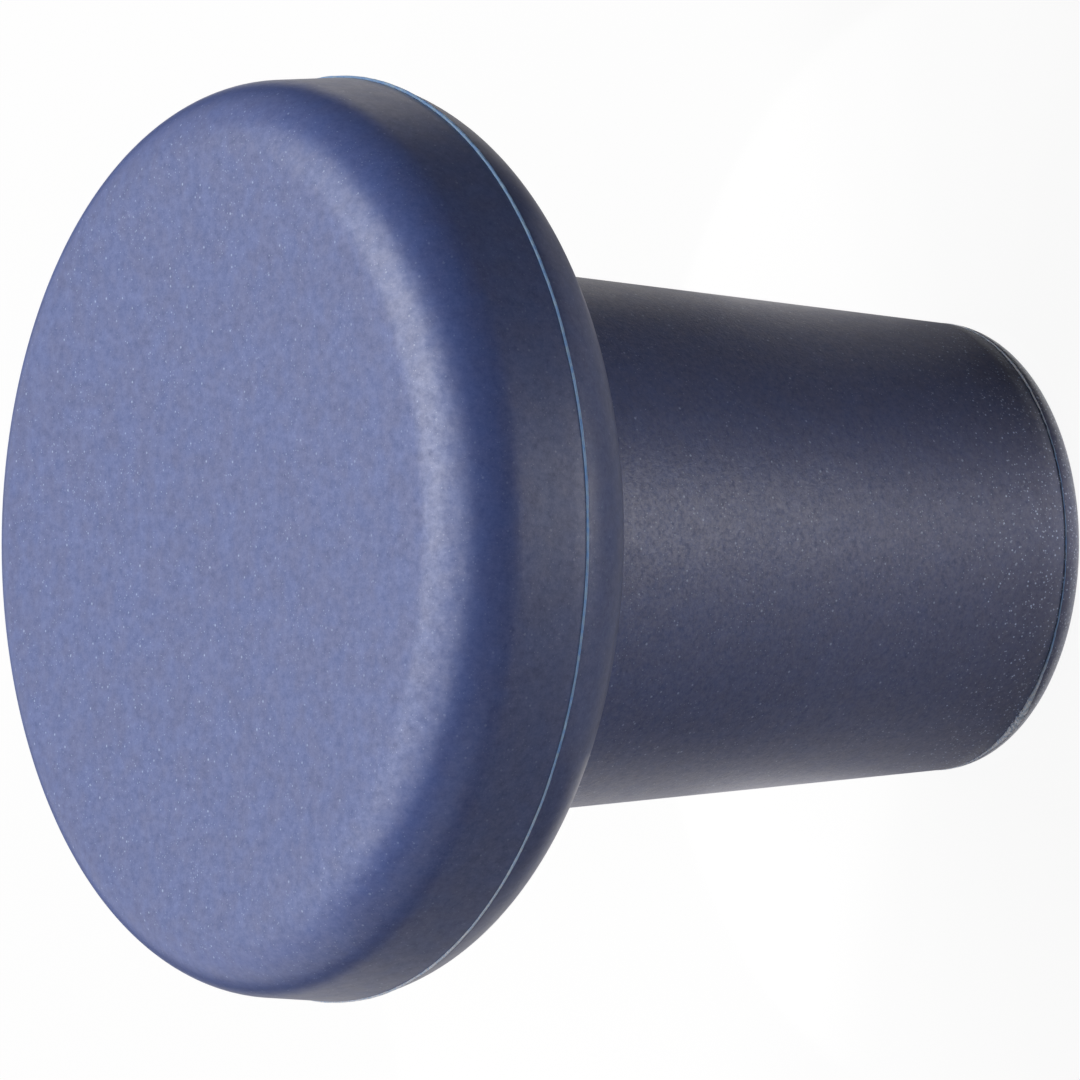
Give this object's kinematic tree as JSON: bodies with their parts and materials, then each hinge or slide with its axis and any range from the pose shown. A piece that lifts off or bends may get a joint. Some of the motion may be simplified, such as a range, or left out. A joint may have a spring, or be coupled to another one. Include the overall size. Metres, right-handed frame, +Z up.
{
  "type": "silicone bottle stopper",
  "caption": "Moulded silicone stopper: a mushroom head with a flat face and soft edges, on a tapered plug that presses into a bottle's mouth.",
  "frame": {"origin": "centre of the flat face at the plug's end, on the surface that the stopper stands on", "axes": "+Z up along the axis of revolution, from the plug's end to the head's flat face; X and Y are equal"},
  "size_m": [0.0382, 0.0382, 0.0376],
  "materials": {
    "silicone": "matt moulded silicone, navy blue"
  },
  "bodies": {
    "root": {"stopper": "silicone"}
  },
  "joints": []
}
